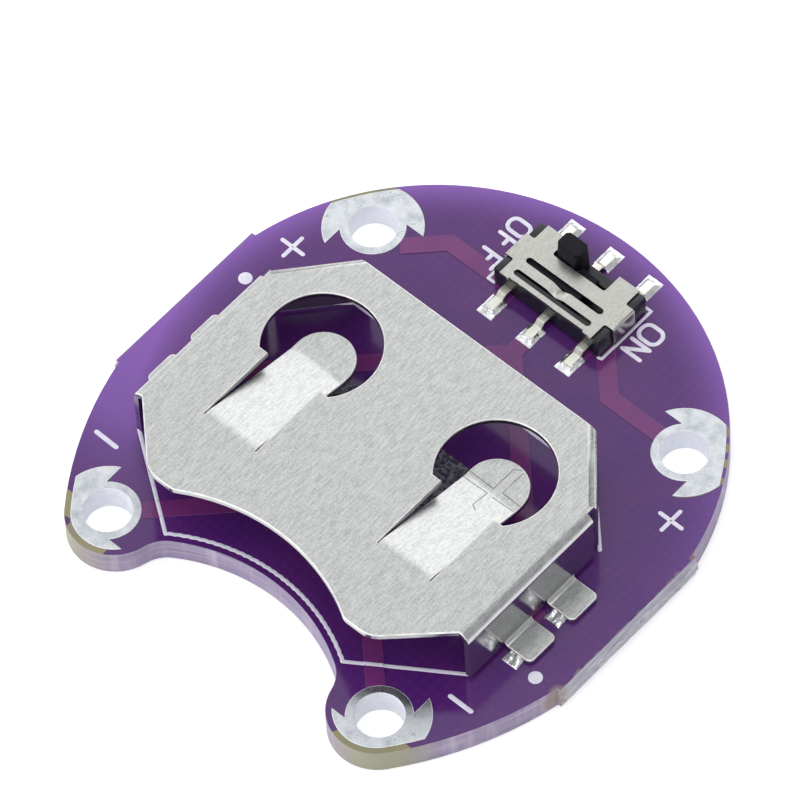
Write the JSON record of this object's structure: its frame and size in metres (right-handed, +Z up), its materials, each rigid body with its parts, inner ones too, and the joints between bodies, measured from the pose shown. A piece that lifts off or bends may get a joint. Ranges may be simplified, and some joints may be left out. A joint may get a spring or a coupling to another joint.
{
  "type": "coin cell holder",
  "caption": "Round sewable circuit board with a sheet-metal clip for a flat coin cell, a slide switch marked ON and OFF, and plated sew tabs marked plus and minus.",
  "frame": {"origin": "on the board's underside, at the centre of its round back edge", "axes": "+X from the switch's OFF end to its ON end, +Y from the thumb notch to the switch, +Z up from the board to the clip"},
  "size_m": [0.0294, 0.0304, 0.0052],
  "materials": {
    "solder_mask": "semi-gloss purple solder mask on glass-epoxy",
    "masked_copper": "copper under purple mask",
    "tab_plating": "pale satin plating",
    "bare_pad": "bare plated copper",
    "clip_steel": "brushed, polished walls",
    "solder": "shiny lumpy solder",
    "pin_metal": "plated, satin",
    "cover_steel": "brushed",
    "black_plastic": "black, glossy",
    "knob_plastic": "black, satin",
    "wiper_metal": "plated spring strip"
  },
  "bodies": {
    "board": {"cell_clip": "clip_steel", "cell_negative_pad": "bare_pad", "circuit_board": "solder_mask", "clip_joint_back_left": "solder", "clip_joint_back_right": "solder", "clip_joint_front_left": "solder", "clip_joint_front_right": "solder", "sew_tab_minus_left": "tab_plating", "sew_tab_minus_right": "tab_plating", "sew_tab_plus_left": "tab_plating", "sew_tab_plus_right": "tab_plating", "switch_cover": "cover_steel", "switch_housing": "black_plastic", "switch_joint_1": "solder", "switch_joint_2": "solder", "switch_joint_3": "solder", "switch_joint_4": "solder", "switch_joint_5": "solder", "switch_joint_6": "solder", "switch_terminal_1": "pin_metal", "switch_terminal_2": "pin_metal", "switch_terminal_3": "pin_metal", "switch_terminal_4": "pin_metal", "switch_terminal_5": "pin_metal", "switch_terminal_6": "pin_metal", "track_minus_left": "masked_copper", "track_minus_right": "masked_copper", "track_plus_left": "masked_copper", "track_plus_right": "masked_copper", "track_switch_to_clip": "masked_copper"},
    "slider": {"switch_slider": "knob_plastic", "switch_wiper_front": "wiper_metal", "switch_wiper_back": "wiper_metal"}
  },
  "joints": [
    {"name": "switch_slide", "type": "slide", "parent": "board", "child": "slider", "axis": [1, 0, 0], "range_m": [0, 0.0017]}
  ]
}
